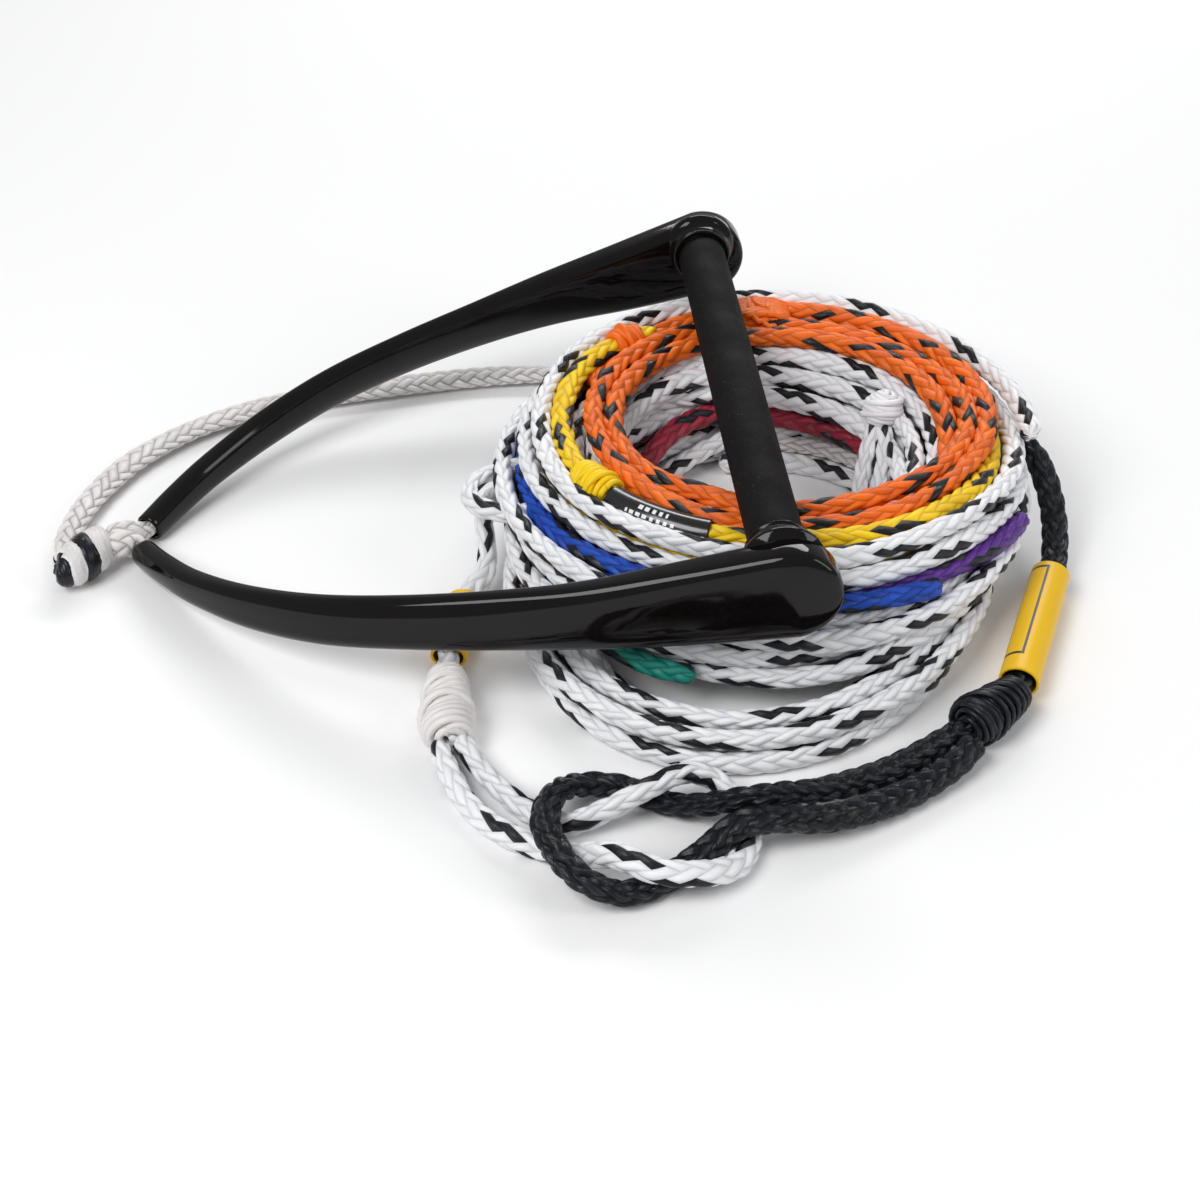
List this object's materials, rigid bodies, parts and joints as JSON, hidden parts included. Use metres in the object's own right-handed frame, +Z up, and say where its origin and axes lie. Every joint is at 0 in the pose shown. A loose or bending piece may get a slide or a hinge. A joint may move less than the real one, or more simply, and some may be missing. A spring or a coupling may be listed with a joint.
{
  "type": "water-ski tow handle with mainline",
  "caption": "Triangular water-ski tow handle with a straight foam grip, resting on its coiled, colour-coded braided mainline with a black boat-end loop.",
  "frame": {"origin": "on the ground under the middle of the handle's bounding box", "axes": "+X from the handle's apex to its bar, +Y along the bar, +Z up from the ground"},
  "size_m": [0.5711, 0.4934, 0.112],
  "materials": {
    "arm_plastic": "polished black moulding",
    "bridle_rope": "tight braided core rope",
    "bar_aluminium": "satin anodised tube",
    "plug_plastic": "turned black plug",
    "grip_foam": "fine-grained closed-cell foam",
    "handle_rope": "open white hollow braid",
    "white_rope": "white hollow braid with a black tracer",
    "red_rope": "crimson hollow braid with a black tracer",
    "green_rope": "green hollow braid with a black tracer",
    "violet_rope": "violet hollow braid with a black tracer",
    "blue_rope": "blue hollow braid with a black tracer",
    "yellow_rope": "yellow hollow braid with a black tracer",
    "orange_rope": "orange hollow braid with a black tracer",
    "black_rope": "glossy black hollow braid",
    "label_film": "shrunk black film",
    "yellow_sleeve": "satin yellow tube"
  },
  "bodies": {
    "rope": {"knot_white": "white_rope", "knot_black": "black_rope", "knot_tail": "white_rope", "handle_rope": "handle_rope", "coil_handle_turn": "handle_rope", "coil_white_base": "white_rope", "coil_white_rim": "white_rope", "coil_white_long": "white_rope", "coil_white_short": "white_rope", "coil_red": "red_rope", "coil_green": "green_rope", "coil_violet": "violet_rope", "coil_blue": "blue_rope", "coil_yellow": "yellow_rope", "coil_orange": "orange_rope", "yellow_wrap": "yellow_rope", "label_sleeve": "label_film", "orange_wrap_left": "orange_rope", "orange_wrap_back": "orange_rope", "white_knot": "white_rope", "takeoff_loop": "white_rope", "tow_rope": "white_rope", "tow_sleeve": "yellow_sleeve", "tow_wrap": "white_rope", "boat_rope": "black_rope", "boat_sleeve": "yellow_sleeve", "boat_wrap": "black_rope"},
    "handle": {"arm_near": "arm_plastic", "arm_far": "arm_plastic", "bridle_rope": "bridle_rope"},
    "bar": {"bar_tube": "bar_aluminium", "bar_plug_near": "plug_plastic", "bar_plug_far": "plug_plastic", "grip": "grip_foam"}
  },
  "joints": [
    {"name": "handle_lift", "type": "hinge", "parent": "rope", "child": "handle", "pos_m": [-0.18649, 0, 0.00551], "axis": [0, -1, 0], "range_deg": [0, 60]},
    {"name": "bar_roll", "type": "hinge", "parent": "handle", "child": "bar", "pos_m": [0.15828, 0, 0.0942], "axis": [0, 1, 0], "continuous": true}
  ]
}
